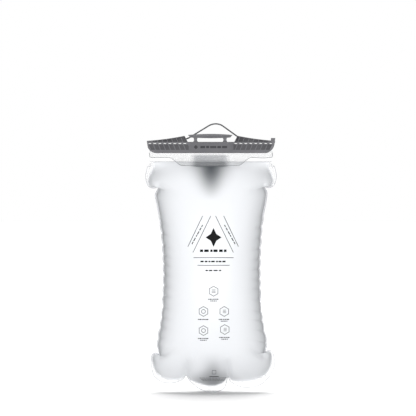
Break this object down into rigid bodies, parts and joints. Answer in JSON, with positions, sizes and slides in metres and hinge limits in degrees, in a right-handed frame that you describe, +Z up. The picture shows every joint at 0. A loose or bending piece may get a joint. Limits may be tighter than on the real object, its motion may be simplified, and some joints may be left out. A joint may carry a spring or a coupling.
{
  "type": "hydration bladder",
  "caption": "Soft two-film water reservoir hung by a ribbed slide closure with a carry bar and cord loop; folded mouth on top, valved hose port low on the back.",
  "frame": {"origin": "middle of the handle window's top edge, under the carry bar", "axes": "+X to the right seen from the front, the front faces -Y, +Z up as it hangs"},
  "size_m": [0.1814, 0.0725, 0.374],
  "materials": {
    "film": "frosted translucent TPU film, soft gloss",
    "closure_plastic": "fine-grained charcoal moulding",
    "cord": "2 mm braided polyester cord",
    "rail_plastic": "natural TPU extrusion",
    "port_plastic": "satin charcoal moulding",
    "boss_plastic": "natural TPU moulding, satin",
    "valve_plastic": "natural acetal",
    "latch_plastic": "blue satin button",
    "seal_rubber": "black silicone",
    "spring_steel": "stainless spring wire"
  },
  "bodies": {
    "closure": {"slide_closure": "closure_plastic"},
    "bag": {"front_film": "film", "back_film": "film", "front_seal_rail": "rail_plastic", "back_seal_rail": "rail_plastic", "port_boss": "boss_plastic", "port_body": "port_plastic", "body_o_ring": "seal_rubber", "valve_retainer": "valve_plastic", "valve_spring": "spring_steel", "latch_spring": "spring_steel"},
    "hang_loop": {"hang_cord": "cord", "left_knot": "cord", "right_knot": "cord"},
    "poppet": {"valve_poppet": "valve_plastic", "poppet_seal": "seal_rubber"},
    "latch": {"release_latch": "latch_plastic"}
  },
  "joints": [
    {"name": "closure_slide", "type": "slide", "parent": "closure", "child": "bag", "axis": [-1, 0, 0], "range_m": [0, 0.18]},
    {"name": "hang_loop_swing", "type": "hinge", "parent": "closure", "child": "hang_loop", "pos_m": [0, 0.0039, -0.0023], "axis": [-1, 0, 0], "range_deg": [0, 120]},
    {"name": "poppet_slide", "type": "slide", "parent": "bag", "child": "poppet", "axis": [0, -1, 0], "range_m": [0, 0.003], "stiffness_N_per_m": 300, "springref_m": -0.006, "deforming": ["valve_spring"]},
    {"name": "latch_slide", "type": "slide", "parent": "bag", "child": "latch", "axis": [0, 0, -1], "range_m": [0, 0.0013], "stiffness_N_per_m": 500, "springref_m": -0.003, "deforming": ["latch_spring"]}
  ]
}
